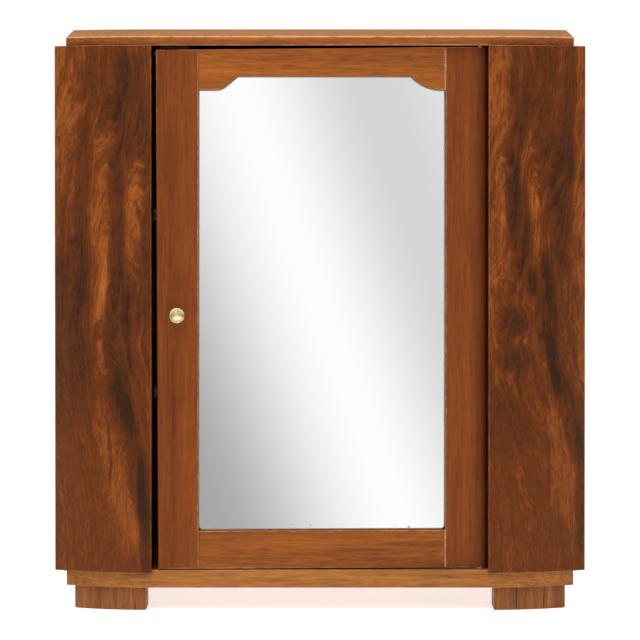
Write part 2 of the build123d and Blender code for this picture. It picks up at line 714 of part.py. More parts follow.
def add_pivots():
    """Pin hinges let into the boards and the door's ends, with a washer that carries the door."""
    thick = PIVOT_PLATE[2]
    bore = Pos(0, 0, PIVOT_L / 2) * Cylinder(PIVOT_R + PIVOT_BORE_ROOM, PIVOT_L + 2)
    bored_plate = pivot_plate() - Cylinder(PIVOT_R + FIT, 3 * thick)
    door_screws, board_screws = [], []
    ends = (
        ("lower", "base", BODY_LOW, DOOR_LOW, 0),
        ("upper", "top", BODY_HIGH, door_top(SIGHT_RIGHT), 180),
    )
    for end, board, level, door_level, turn in ends:
        door_plate, board_plate = f"pivot_plate_door_{end}", f"pivot_plate_{board}"
        parts[board_plate] = at_pivot(Pos(0, 0, -thick) * pinned_plate(), level, turn)
        parts[door_plate] = at_pivot(bored_plate, door_level, turn)
        drill(at_pivot(Pos(0, 0, -thick) * pivot_plate(), level, turn), [f"{board}_board"])
        drill(at_pivot(pivot_plate() + bore, door_level, turn), ["door_stile_hinge"])
        inward, outward = (DOWN, UP) if turn else (UP, DOWN)
        for reach in PIVOT_SCREW_REACH:
            x = PIVOT_X - reach
            board_screws.append(((x, PIVOT_DEPTH, level), inward, [board_plate, f"{board}_board"]))
            door_screws.append(((x, PIVOT_DEPTH, door_level), outward, [door_plate, "door_stile_hinge"]))
        door_nodes.add(door_plate)
    drive("pivot_plate_screws", PIVOT_SCREW, board_screws)
    drive("door_pivot_screws", PIVOT_SCREW, door_screws)
    door_nodes.add("door_pivot_screws")
    washer = Cylinder(WASHER_R, DOOR_GAP) - Cylinder(PIVOT_R + FIT, 2 * DOOR_GAP)
    parts["pivot_washer"] = at_pivot(washer, BODY_LOW + DOOR_GAP / 2)


# ---- the knob and the catch --------------------------------------------------------------------
def add_knob():
    """A turned brass knob with a coned face inside a raised rim, held by a screw from behind."""
    neck = KNOB_NECK + 0.4
    rim = KNOB_R - 0.5
    profile = [
        Polyline((0, 0), (KNOB_FOOT, 0), (KNOB_FOOT, 0.9), (neck, 2.2)),
        ThreePointArc((neck, 2.2), (KNOB_NECK, 5.0), (rim - 0.9, 9.0)),
        ThreePointArc((rim - 0.9, 9.0), (KNOB_R, 10.4), (rim, 12.0)),
        Polyline((rim, 12.0), (rim - 0.6, 12.1), (rim - 0.9, 11.6), (0, KNOB_L), (0, 0)),
    ]
    thread = Cylinder(KNOB_SCREW[1] + FIT, 2 * KNOB_THREAD)
    parts["knob"] = placed(turned(profile) - thread, (KNOB_X, DOOR_FACE, KNOB_Z), FORWARD)
    head = ((KNOB_X, DOOR_REAR, KNOB_Z), BACKWARD, ["door_stile_knob"])
    drive("knob_screw", KNOB_SCREW, [head])
    door_nodes.update(("knob", "knob_screw"))


def add_catch():
    """A spring ball in a barrel let into the door's lower edge."""
    axis = Pos(CATCH_X, FRONT_Y + DOOR_MIDDLE)
    flange_r, flange_t = BARREL_FLANGE
    barrel_l = SPRING_TOP + 1 - DOOR_LOW
    shell = Pos(0, 0, DOOR_LOW + barrel_l / 2) * Cylinder(BARREL_R, barrel_l)
    shell += Pos(0, 0, DOOR_LOW + flange_t / 2) * Cylinder(flange_r, flange_t)
    drill(axis * shell, ["door_stile_knob"])
    inner_r = BALL_R + FIT
    shell -= Pos(0, 0, (BALL_Z + SPRING_TOP) / 2) * Cylinder(inner_r, SPRING_TOP - BALL_Z)
    parts["catch_barrel"] = axis * (shell - Pos(0, 0, BALL_Z) * Sphere(inner_r))
    parts["catch_ball"] = axis * Pos(0, 0, BALL_Z) * Sphere(BALL_R)
    parts["catch_spring"] = axis * catch_spring()
    door_nodes.update(("catch_barrel", "catch_ball", "catch_spring"))


def catch_spring():
    """A round wire coiled between the ball and the barrel's closed end."""
    low = BALL_Z + BALL_R + SPRING_WIRE_R - SPRING_DIP
    height = SPRING_TOP - SPRING_WIRE_R - FIT - low
    helix = Helix(pitch=height / SPRING_TURNS, height=height, radius=SPRING_R)
    start = Plane(origin=helix @ 0, z_dir=helix % 0)
    return Pos(0, 0, low) * sweep(start * Circle(SPRING_WIRE_R), path=helix, is_frenet=True)


def add_strike_plate():
    """The plate on the base board with the hollow that the catch's ball drops into."""
    length, width, thick = STRIKE
    x = CATCH_X + STRIKE_SHIFT
    outline = Pos(x, FRONT_Y + DOOR_MIDDLE) * RectangleRounded(length, width, STRIKE_CORNER_R)
    plate = Pos(0, 0, BODY_LOW - thick) * extrude(outline, thick)
    drill(plate, ["base_board"])
    dimple = Pos(CATCH_X, FRONT_Y + DOOR_MIDDLE, BODY_LOW + BALL_R - DIMPLE_DEPTH) * Sphere(BALL_R)
    parts["strike_plate"] = plate - dimple
    drill(dimple, ["base_board"])
    names = ["strike_plate", "base_board"]
    spots = (x - STRIKE_SCREW_REACH, x + STRIKE_SCREW_REACH)
    drive("strike_plate_screws", STRIKE_SCREW, [((at, DOOR_MIDDLE, BODY_LOW), UP, names) for at in spots])


# ---- the hanging plates ------------------------------------------------------------------------
def hanger_outline():
    """A plate with a hole for a screw's head and a narrow slot above it."""
    width, height, _ = HANGER
    hole = Circle(HANGER_HOLE_R)
    hole += Pos(0, HANGER_SLOT_L / 2) * Rectangle(2 * HANGER_SLOT_R, HANGER_SLOT_L)
    hole += Pos(0, HANGER_SLOT_L) * Circle(HANGER_SLOT_R)
    return RectangleRounded(width, height, HANGER_CORNER_R) - Pos(0, -HANGER_HOLE_DROP) * hole


def add_hangers():
    """Keyhole plates on the rear edges of the side panels, with room behind them for a screw's head."""
    room_w, room_h, room_depth = HANGER_ROOM
    rear = DEPTH + HANGER[2]
    places = []
    for sign, hand in HANDS:
        x = sign * HANGER_X
        names = [f"hanger_plate_{hand}", f"side_panel_{hand}"]
        parts[names[0]] = from_front(Pos(x, HANGER_Z) * hanger_outline(), DEPTH, rear)
        room = Pos(x, HANGER_Z + 1) * RectangleRounded(room_w, room_h, room_w / 2 - FIT)
        drill(from_front(room, DEPTH - room_depth, DEPTH + ROOM), names[1:])
        for rise in (-HANGER_SCREW_REACH, HANGER_SCREW_REACH):
            places.append(((x, rear, HANGER_Z + rise), BACKWARD, names))
    drive("hanger_screws", HANGER_SCREW, places)


def stand_ajar():
    """Turns the door about its pivot to the angle at which it stands at rest."""
    axis = Pos(PIVOT_X, FRONT_Y + PIVOT_DEPTH)
    turn = axis * Rot(0, 0, AJAR) * axis.inverse()
    for name in door_nodes:
        parts[name] = turn * parts[name]


def build():
    add_box()
    add_box_screws()
    add_frame()
    add_mirror()
    add_pivots()
    add_knob()
    add_catch()
    add_strike_plate()
    add_hangers()
    stand_ajar()


def write():
    os.makedirs("parts", exist_ok=True)
    for name, shape in parts.items():
        export_step(shape, f"parts/{name}.step")


build()
write()
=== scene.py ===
import json
import math

import bpy
import numpy as np
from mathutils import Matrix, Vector


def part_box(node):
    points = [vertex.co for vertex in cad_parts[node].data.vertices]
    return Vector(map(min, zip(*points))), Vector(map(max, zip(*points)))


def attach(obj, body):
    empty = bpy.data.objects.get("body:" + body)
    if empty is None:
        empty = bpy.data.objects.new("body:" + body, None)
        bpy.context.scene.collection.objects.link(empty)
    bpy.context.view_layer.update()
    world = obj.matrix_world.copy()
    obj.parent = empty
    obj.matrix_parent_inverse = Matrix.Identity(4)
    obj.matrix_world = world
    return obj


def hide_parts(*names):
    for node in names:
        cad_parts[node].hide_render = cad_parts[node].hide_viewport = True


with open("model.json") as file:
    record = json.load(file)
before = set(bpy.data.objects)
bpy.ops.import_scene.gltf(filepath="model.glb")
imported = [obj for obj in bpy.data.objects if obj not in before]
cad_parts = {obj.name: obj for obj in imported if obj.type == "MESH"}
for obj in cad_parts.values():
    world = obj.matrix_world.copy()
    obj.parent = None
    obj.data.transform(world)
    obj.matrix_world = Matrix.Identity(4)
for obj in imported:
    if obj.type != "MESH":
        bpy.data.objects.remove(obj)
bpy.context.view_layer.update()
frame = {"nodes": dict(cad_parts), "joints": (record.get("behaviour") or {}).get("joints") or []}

bl_info = {
    "name": "Walnut Mirror Cabinet",
    "version": (1, 0, 0),
    "blender": (4, 5, 0),
    "location": "3D View > Sidebar > Cabinet",
    "description": "Finishes a small walnut cabinet with a mirror door and sets up its studio",
    "category": "Object",
}

SWING = next(joint for joint in frame["joints"] if joint["name"] == "door_swing")
HINGE = tuple(SWING["pos_m"])
AJAR = math.radians(-SWING["range_deg"][0])
ALONG_X, ALONG_Y, ALONG_Z = 0, 1, 2
SHEEN = 0.1  # specular level of old polish
GRAIN_DEPTH = 0.0002  # metres of relief in the grain
JOINT_LINE = (0.0004, 0.0009)  # half the width of a joint's line, where it is full and where it ends


# ---- colours and boxes -------------------------------------------------------------------------
def tint(red, green, blue):
    """A colour picked on a screen, from 0 to 255, as the linear numbers that shaders use."""
    share = np.array([red, green, blue]) / 255
    linear = np.where(share <= 0.04045, share / 12.92, ((share + 0.055) / 1.055) ** 2.4)
    return tuple(float(value) for value in linear)


def span(node):
    """The lowest and highest corner of a node, as arrays."""
    low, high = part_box(node)
    return np.array(low), np.array(high)


# ---- settings a user would change --------------------------------------------------------------
def colour(name, description, default):
    """A setting that is a linear colour."""
    return bpy.props.FloatVectorProperty(
        name=name, description=description, default=default, subtype="COLOR", size=3, min=0, max=1
    )


def share(name, description, default):
    """A setting between nothing and one."""
    return bpy.props.FloatProperty(
        name=name, description=description, default=default, min=0, max=1, subtype="FACTOR"
    )


def length(name, description, default):
    """A setting in metres."""
    return bpy.props.FloatProperty(
        name=name, description=description, default=default, min=0, unit="LENGTH", precision=4
    )


class CabinetWood(bpy.types.PropertyGroup):
    """Colours and polish of the wooden pieces."""

    figure_light: colour("Figure light", "Palest streaks of the figured veneer", tint(158, 86, 28))
    figure_mid: colour("Figure middle", "Ground colour of the figured veneer", tint(96, 44, 7))
    figure_dark: colour("Figure dark", "Darkest clouds of the figured veneer", tint(50, 26, 7))
    top_light: colour("Top light", "Pale grain of the top board", tint(158, 86, 34))
    top_dark: colour("Top dark", "Dark grain of the top board", tint(88, 42, 11))
    base_light: colour("Base light", "Pale grain of the base board", tint(176, 112, 54))
    base_dark: colour("Base dark", "Dark grain of the base board", tint(110, 62, 22))
    rail_light: colour("Rail light", "Pale grain of the door's rails", tint(158, 88, 30))
    rail_dark: colour("Rail dark", "Dark grain of the door's rails", tint(98, 48, 12))
    stile_light: colour("Stile light", "Pale grain of the door's stiles", tint(136, 68, 17))
    stile_dark: colour("Stile dark", "Dark grain of the door's stiles", tint(78, 33, 6))
    foot_light: colour("Foot light", "Pale grain of the feet", tint(156, 94, 48))
    foot_dark: colour("Foot dark", "Dark grain of the feet", tint(84, 48, 22))
    inside_light: colour("Inside light", "Pale grain of the unpolished wood", tint(178, 130, 84))
    inside_dark: colour("Inside dark", "Dark grain of the unpolished wood", tint(118, 80, 48))
    # also used as painted light on the top board's chamfer and top, and on its lower arris as part wear, part
    # painted highlight
    rubbed: colour("Rubbed", "Colour of the arrises where the polish is rubbed away", tint(214, 168, 120))
    polish: share("Polish", "Weight of the clear coat", 0.04)
    wear: share("Wear", "How far the arrises are rubbed pale", 0.35)
    bow_radius: length("Bow radius", "Radius of the pilasters' bowed face", 0.168)
    chamfer: length("Chamfer", "Height of the top board's chamfer", 0.0065)


class CabinetMetal(bpy.types.PropertyGroup):
    """Colours of the metal and the mirror, and the sizes of the turned knob."""

    brass: colour("Brass", "Colour of the brass", tint(250, 232, 184))
    # also the colour of the knob's painted darker reflection wedges
    tarnish_and_dark_reflection: colour("Tarnish", "Colour of the brass where it has dulled", tint(176, 142, 84))
    steel: colour("Steel", "Colour of the screws", tint(150, 146, 138))
    silver: colour("Silvering", "Colour of the mirror", tint(250, 251, 250))
    knob_length: length("Knob length", "From the door's face to the knob's nose", 0.0132)
    knob_radius: length("Knob radius", "Radius of the knob's rim", 0.0065)
    ring_pitch: length("Ring pitch", "Distance between the turning marks", 0.00035)


class CabinetStudio(bpy.types.PropertyGroup):
    """The camera's place and the strength of the lights."""

    distance: length("Distance", "From the pilasters' front to the camera", 2.65)
    field: length("Field", "Width of what the view takes in at the pilasters' front", 0.55006)
    eye_height: length("Eye height", "Camera's height above the floor", 0.385)
    sky: bpy.props.FloatProperty(name="Sky", description="Strength of the white room", default=0.7)
    key: bpy.props.FloatProperty(name="Key", description="Power of the main light", default=38, unit="POWER")
    floor: colour("Floor", "Colour of the floor", tint(244, 243, 241))


# ---- shader maths ------------------------------------------------------------------------------
class Wire:
    """One value in a material. Python's operators on it add Math nodes."""

    def __init__(self, paint, socket):
        self.paint = paint
        self.socket = socket

    def _math(self, operation, first, second):
        return self.paint.node("ShaderNodeMath", {"operation": operation}, {0: first, 1: second})

    def __add__(self, other):
        return self._math("ADD", self, other)

    def __sub__(self, other):
        return self._math("SUBTRACT", self, other)

    def __rsub__(self, other):
        return self._math("SUBTRACT", other, self)

    def __mul__(self, other):
        return self._math("MULTIPLY", self, other)

    def __truediv__(self, other):
        return self._math("DIVIDE", self, other)

    def __pow__(self, other):
        return self._math("POWER", self, other)

    def low(self, other):
        return self._math("MINIMUM", self, other)

    def high(self, other):
        return self._math("MAXIMUM", self, other)

    def size(self):
        return self._math("ABSOLUTE", self, 0.0)

    def wave(self):
        return self._math("SINE", self, 0.0)

    __radd__ = __add__
    __rmul__ = __mul__


class Paint:
    """A material in the making, with a Principled shader at its end."""

    def __init__(self, name):
        self.material = bpy.data.materials.new(name)
        self.material.use_nodes = True
        self.tree = self.material.node_tree
        self.shader = self.tree.nodes["Principled BSDF"]

    def node(self, kind, settings=None, sockets=None, output=0):
        """Adds a node of this type: first its settings, then the values or links of its sockets."""
        made = self.tree.nodes.new(kind)
        for key, value in (settings or {}).items():
            if key == "stops":
                self.set_stops(made.color_ramp, value)
            else:
                setattr(made, key, value)
        for key, value in (sockets or {}).items():
            if isinstance(value, Wire):
                self.tree.links.new(value.socket, made.inputs[key])
            else:
                made.inputs[key].default_value = value
        return Wire(self, made.outputs[output])

    @staticmethod
    def set_stops(ramp, stops):
        while len(ramp.elements) < len(stops):
            ramp.elements.new(1.0)
        for element, (place, shade) in zip(ramp.elements, stops):
            element.position = place
            element.color = (*shade, 1.0)

    def place(self):
        """Object coordinates, in metres."""
        return self.node("ShaderNodeTexCoord", output=3)

    def turned(self, point, centre, angle):
        """The point as seen before a piece was turned about an upright axis through centre."""
        away = self.node("ShaderNodeMapping", {"vector_type": "TEXTURE"},
                         {"Vector": point, "Location": centre, "Rotation": (0, 0, angle)})
        return self.node("ShaderNodeVectorMath", {"operation": "ADD"}, {0: away, 1: centre})

    def split(self, vector):
        parts = self.tree.nodes.new("ShaderNodeSeparateXYZ")
        self.tree.links.new(vector.socket, parts.inputs[0])
        return [Wire(self, output) for output in parts.outputs]

    def join(self, x, y, z):
        return self.node("ShaderNodeCombineXYZ", None, {0: x, 1: y, 2: z})

    def noise(self, vector, scale=1.0, detail=2.0, roughness=0.5, distortion=0.0):
        return self.node("ShaderNodeTexNoise", None, {
            "Vector": vector, "Scale": scale, "Detail": detail,
            "Roughness": roughness, "Distortion": distortion,
        })

    def ramp(self, value, stops):
        return self.node("ShaderNodeValToRGB", {"stops": stops}, {"Fac": value})

    def step(self, value, low, high, low_out=0.0, high_out=1.0):
        """Runs smoothly from one value to the other as the input goes from low to high."""
        return self.node("ShaderNodeMapRange", {"interpolation_type": "SMOOTHSTEP"},
                         {0: value, 1: low, 2: high, 3: low_out, 4: high_out})

    def mix(self, factor, first, second):
        """Goes from the first colour to the second as the factor goes from nothing to one."""
        def full(shade):
            return shade if isinstance(shade, Wire) else (*shade, 1.0)
        return self.node("ShaderNodeMix", {"data_type": "RGBA"},
                         {0: factor, 6: full(first), 7: full(second)}, output=2)

    def bump(self, height, strength, distance=0.0005):
        return self.node("ShaderNodeBump", None,
                         {"Strength": strength, "Distance": distance, "Height": height})

    def finish(self, **inputs):
        """Sets or links the shader's inputs, whose names are written with underscores."""
        for key, value in inputs.items():
            socket = self.shader.inputs[key.replace("_", " ")]
            if isinstance(value, Wire):
                self.tree.links.new(value.socket, socket)
            else:
                socket.default_value = value
        return self.material


def coat(node, material):
    """Puts a material on a node of the frame."""
    slots = frame["nodes"][node].material_slots
    for slot in slots:
        slot.link = "DATA"
        slot.material = material


# ---- wood --------------------------------------------------------------------------------------
def edge_distance(paint, point, node, turn=0.0):
    """Distance to the nearest arris of a board: the second smallest of the distances to its faces."""
    low, high = span(node) if not turn else closed_span(node)
    gaps = []
    for axis, value in enumerate(paint.split(point)):
        gaps.append((value - float(low[axis])).size().low((value - float(high[axis])).size()))
    a, b, c = gaps
    return a.low(b).high(a.high(b).low(c))


def swung(points, angle):
    """Points turned about the hinge."""
    turn = np.array([
        [math.cos(angle), -math.sin(angle), 0],
        [math.sin(angle), math.cos(angle), 0],
        [0, 0, 1],
    ])
    return (points - np.array(HINGE)) @ turn.T + np.array(HINGE)


def closed_span(node):
    """The box that a door node would have with the door shut."""
    source = frame["nodes"][node].data
    points = np.empty(len(source.vertices) * 3)
    source.vertices.foreach_get("co", points)
    points = swung(points.reshape(-1, 3), -AJAR)
    return points.min(axis=0), points.max(axis=0)


def grain(paint, point, along, seed):
    """Fibres, streaks, broad bands and short pores of wood whose grain runs along one axis."""
    parts = paint.split(point)

    def field(across, lengthways, detail, roughness=0.5, bend=0.0):
        scales = [lengthways if axis == along else across for axis in range(3)]
        place = paint.join(*[part * scale + seed for part, scale in zip(parts, scales)])
        return paint.noise(place, 1.0, detail, roughness, bend)

    fibres = field(620.0, 42.0, 3.0, 0.7)
    streaks = field(210.0, 7.0, 4.0, 0.6, 0.3)
    bands = field(42.0, 2.2, 3.0, 0.5, 0.6)
    pores = paint.step(field(820.0, 62.0, 2.0), 0.6, 0.68)
    return fibres, streaks, bands, pores


def straight_wood(name, node, along, light, dark, seed=0.0, turn=0.0, contrast=1.0, pored=0.4, polish=None,
                  touch=None):
    """Polished straight-grained wood with rubbed arrises.

    turn is how far the piece stands turned about the hinge, and touch may paint more on it at the end.
    """
    wood = bpy.context.scene.cabinet_wood
    paint = Paint(name)
    point = paint.place()
    if turn:
        point = paint.turned(point, HINGE, turn)
    fibres, streaks, bands, pores = grain(paint, point, along, seed)
    tone = (fibres - 0.5) * (1.3 * contrast) + (streaks - 0.5) * contrast + (bands - 0.5) * (1.2 * contrast)
    shade = paint.mix((tone + 0.5).high(0.0).low(1.0), tuple(dark), tuple(light))
    shade = paint.mix(pores * pored, shade, tuple(c * 0.4 for c in dark))
    gap = edge_distance(paint, point, node, turn)
    chips = paint.noise(point, 170.0, 3.0, 0.6)
    rubbed = paint.step(gap - (chips - 0.5) * 0.0022, 0.0, 0.0009, 1.0, 0.0) * float(wood.wear)
    shade = paint.mix(rubbed, shade, tuple(wood.rubbed))
    grime = paint.noise(point, 14.0, 4.0, 0.6)
    shade = paint.mix(paint.step(grime, 0.5, 0.8) * 0.25, shade, tuple(c * 0.5 for c in dark))
    if touch:
        shade = touch(paint, point, shade)
    rough = 0.42 + (fibres - 0.5) * 0.25 + rubbed * 0.2
    weight = wood.polish if polish is None else polish
    return paint.finish(
        Base_Color=shade, Roughness=rough, Coat_Weight=weight, Coat_Roughness=0.22, Specular_IOR_Level=SHEEN,
        Normal=paint.bump(fibres * 0.4 - pores * 0.8, 0.35, GRAIN_DEPTH),
    )


def painted_chamfer_light_and_wear(paint, point, shade):
    """Painted light on the top board: its chamfer and the top above it are painted paler, as lit from above,
    and its lower arris is painted as a pale line, part wear and part painted highlight.
    """
    wood = bpy.context.scene.cabinet_wood
    level = float(span("top_board")[1][2]) - wood.chamfer
    height = paint.split(point)[2]
    # painted light: the chamfer and the top above it are painted paler, as they look lit from above
    shade = paint.mix(paint.step(height, level, level + 0.0008) * 0.28, shade, tuple(wood.rubbed))
    # the lower arris of the chamfer: a pale line, partly rubbed wear and partly a painted highlight
    chips = paint.noise(point, 150.0, 3.0, 0.6)
    line = paint.step((height - level).size() + (chips - 0.5) * 0.0016, 0.0, 0.0011, 0.75, 0.0)
    return paint.mix(line, shade, tuple(wood.rubbed))


def cracked(paint, point, shade):
    """Fine dark shakes that run up the foot."""
    x, y, z = paint.split(point)
    lines = paint.noise(paint.join(x * 190.0, y * 190.0, z * 7.0), 1.0, 2.0, 0.6)
    return paint.mix(paint.step(lines, 0.63, 0.67) * 0.8, shade, tint(44, 24, 12))


def painted_hinge_shade(paint, point, shade):
    """Painted shade on the hinge stile: darker towards its rounded edge beside the pilaster."""
    wood = bpy.context.scene.cabinet_wood
    edge = float(closed_span("door_stile_hinge")[1][0])
    # painted shade: a darker band over the last 18 mm of the stile towards its hinge edge
    painted_shade_mask = paint.step(paint.split(point)[0], edge - 0.018, edge - 0.004)
    return paint.mix(painted_shade_mask * 0.45, shade, tuple(c * 0.62 for c in wood.stile_dark))


def filled_joints(paint, point, shade):
    """Pale filler shows in dashes along the joint with the hinge stile, and dirt along the other."""
    low, high = closed_span("mirror_glass")
    x, y, z = paint.split(point)
    dashes = paint.step(paint.noise(paint.join(x * 0.0, y * 0.0, z * 420.0), 1.0, 2.0, 0.6), 0.54, 0.6)
    right = paint.step((x - float(high[0])).size(), *JOINT_LINE, 1.0, 0.0)
    left = paint.step((x - float(low[0])).size(), *JOINT_LINE, 1.0, 0.0)
    shade = paint.mix(right * (0.25 + dashes * 0.3), shade, tint(214, 176, 132))
    return paint.mix(left * 0.6, shade, tint(84, 46, 20))


# Strokes of the figure. Each is (across, down, half width, half height, lean, tone): shares of
# the veneer's width and height, then how far the top leans over its foot, and how much paler or darker it is.
LEFT_FIGURE = [
    (0.05, 0.08, 0.20, 0.16, 0.10, 0.26),
    (0.76, 0.10, 0.17, 0.10, 0.00, -0.42),
    (0.45, 0.06, 0.30, 0.07, 0.00, -0.10),
    (0.28, 0.30, 0.07, 0.20, 0.08, -0.30),
    (0.48, 0.38, 0.09, 0.16, 0.00, 0.32),
    (0.64, 0.32, 0.06, 0.14, 0.00, -0.34),
    (0.80, 0.33, 0.08, 0.10, 0.04, 0.34),
    (0.93, 0.28, 0.08, 0.12, 0.00, -0.22),
    (0.84, 0.46, 0.18, 0.09, 0.00, -0.30),
    (0.18, 0.53, 0.24, 0.15, 0.00, -0.34),
    (0.52, 0.50, 0.04, 0.10, 0.00, 0.30),
    (0.51, 0.545, 0.05, 0.02, 0.00, -0.45),
    (0.68, 0.62, 0.11, 0.14, 0.00, -0.34),
    (0.81, 0.77, 0.09, 0.13, -0.22, -0.46),
    (0.95, 0.90, 0.07, 0.13, -0.04, -0.46),
    (0.50, 0.72, 0.08, 0.08, -0.06, 0.20),
    (0.72, 0.84, 0.15, 0.12, -0.16, 0.30),
    (0.565, 0.77, 0.014, 0.06, -0.02, -0.40),
    (0.20, 0.66, 0.22, 0.08, 0.00, -0.14),
]
RIGHT_FIGURE = [
    (0.12, 0.14, 0.13, 0.20, 0.02, 0.26),
    (0.62, 0.10, 0.34, 0.16, 0.00, -0.20),
    (0.25, 0.20, 0.08, 0.16, 0.05, -0.26),
    (0.30, 0.33, 0.09, 0.12, -0.12, -0.42),
    (0.73, 0.12, 0.05, 0.05, 0.04, 0.22),
    (0.77, 0.24, 0.10, 0.14, 0.00, -0.40),
    (0.97, 0.30, 0.06, 0.45, 0.00, 0.30),
    (0.48, 0.32, 0.05, 0.13, -0.05, 0.34),
    (0.47, 0.44, 0.06, 0.03, 0.00, -0.40),
    (0.66, 0.42, 0.18, 0.12, 0.00, -0.18),
    (0.12, 0.42, 0.12, 0.14, 0.00, 0.14),
    (0.27, 0.52, 0.14, 0.03, 0.00, -0.38),
    (0.28, 0.59, 0.15, 0.03, 0.00, -0.34),
    (0.62, 0.55, 0.08, 0.13, -0.03, -0.42),
    (0.78, 0.68, 0.08, 0.12, -0.26, -0.48),
    (0.96, 0.82, 0.06, 0.13, -0.02, -0.44),
    (0.60, 0.64, 0.03, 0.06, -0.06, 0.30),
    (0.76, 0.80, 0.16, 0.12, -0.16, 0.26),
    (0.20, 0.72, 0.20, 0.05, 0.00, -0.20),
    (0.58, 0.78, 0.012, 0.08, -0.03, -0.30),
]


def stroke(paint, sheet, across, down, half_width, half_height, lean):
    """A soft leaning oval on the veneer: one at its middle and nothing at its edge."""
    x, y, _ = paint.split(sheet)
    straight = paint.join(x + (y - down) * (lean / half_height * 0.5), y, 0.0)
    inside = paint.node("ShaderNodeMapping", {"vector_type": "TEXTURE"}, {
        "Vector": straight,
        "Location": (across, down, 0.0),
        "Scale": (half_width * 1.6, half_height * 1.6, 1.0),
    })
    return paint.node("ShaderNodeTexGradient", {"gradient_type": "SPHERICAL"}, {"Vector": inside}, output=1)


def figured_walnut(name, node, strokes, seed):
    """Figured veneer: grain that wanders round clouds and tongues of darker and paler wood."""
    wood = bpy.context.scene.cabinet_wood
    low, high = span(node)
    paint = Paint(name)
    point = paint.place()
    x, y, z = paint.split(point)
    across = (x - float(low[0])) / float(high[0] - low[0])
    down = (float(high[2]) - z) / float(high[2] - low[2])
    swell = paint.noise(paint.join(across * 1.3 + seed, down * 3.2, y * 8.0), 1.0, 2.0, 0.5)
    ripple = paint.noise(paint.join(across * 5.0, down * 9.0 + seed, y * 20.0), 1.0, 4.0, 0.6)
    bent = across + (swell - 0.5) * 0.16 + (ripple - 0.5) * 0.14
    fallen = down + (ripple - 0.5) * 0.07
    sheet = paint.join(bent, fallen, 0.0)

    clouds = 0.0
    for *place_and_size, weight in strokes:
        oval = stroke(paint, sheet, *place_and_size)
        clouds = clouds + paint.step(oval + (ripple - 0.5) * 0.5, 0.05, 0.6) * weight

    # the grain leans one way above the middle and the other way below it
    drift = paint.step(down, 0.0, 0.45, 0.42, 0.0) + paint.step(down, 0.5, 0.92, 0.0, 0.42)
    flow = (bent - drift) * 30.0 + clouds * 6.0 + swell * 9.0
    threads = paint.noise(paint.join(flow, down * 5.0 + seed, y * 60.0), 1.0, 4.0, 0.6)
    fibres = paint.noise(paint.join(flow * 3.6, down * 46.0 + seed, y * 240.0), 1.0, 3.0, 0.75)
    mottle = paint.noise(paint.join(bent * 9.0, down * 20.0 + seed, y * 60.0), 1.0, 5.0, 0.7)
    calm = paint.step(down, 0.62, 0.85, 1.0, 0.45)
    tone = 0.47 + clouds * 0.62 + (fibres - 0.5) * 0.75
    tone = tone + (threads - 0.5) * calm * 0.85 + (mottle - 0.5) * calm * 0.8
    shade = paint.ramp(tone, [
        (0.0, tuple(wood.figure_dark)),
        (0.5, tuple(wood.figure_mid)),
        (1.0, tuple(wood.figure_light)),
    ])
    pores = paint.step(paint.noise(paint.join(x * 900.0, y * 900.0, z * 110.0), 1.0, 2.0, 0.5), 0.6, 0.7)
    shade = paint.mix(pores * 0.4, shade, tuple(c * 0.5 for c in wood.figure_dark))
    rubbed = bow_wear(paint, point, node)
    shade = paint.mix(rubbed, shade, tuple(wood.rubbed))
    return paint.finish(
        Base_Color=shade, Roughness=0.38 + (threads - 0.5) * 0.2 + rubbed * 0.2,
        Coat_Weight=wood.polish, Coat_Roughness=0.2, Specular_IOR_Level=SHEEN,
        Normal=paint.bump(threads * 0.5 - pores * 0.7, 0.3, GRAIN_DEPTH),
    )


def bow_wear(paint, point, node):
    """Rubbed arrises of a pilaster, whose face lies at one radius from the bow's axis."""
    wood = bpy.context.scene.cabinet_wood
    low, high = span(node)
    inner = float(low[0] if low[0] > 0 else high[0])
    x, y, z = paint.split(point)
    axis_y = float(low[1]) + wood.bow_radius
    reach = ((x - inner) ** 2.0 + (y - axis_y) ** 2.0) ** 0.5
    face = (wood.bow_radius - reach).size()
    sides = (x - float(low[0])).size().low((x - float(high[0])).size())
    ends = (z - float(low[2])).size().low((z - float(high[2])).size())
    gap = face.low(sides).high(face.high(sides).low(ends))
    chips = paint.noise(point, 120.0, 3.0, 0.6)
    return paint.step(gap - (chips - 0.5) * 0.0012, 0.0, 0.0008, 1.0, 0.0) * (wood.wear * 0.7)


# ---- metal and glass ---------------------------------------------------------------------------
def aged_metal(name, bright, dull, roughness, marks=90.0):
    """Handled metal: duller in clouds, with fine scratches."""
    paint = Paint(name)
    point = paint.place()
    clouds = paint.noise(point, marks, 4.0, 0.6)
    scratches = paint.noise(point, 2600.0, 2.0, 0.5)
    shade = paint.mix(paint.step(clouds, 0.42, 0.72), tuple(bright), tuple(dull))
    rough = roughness + (clouds - 0.5) * 0.3 + (scratches - 0.5) * 0.15
    return paint.finish(
        Base_Color=shade, Metallic=1.0, Roughness=rough, Normal=paint.bump(scratches, 0.12, 0.0001)
    )


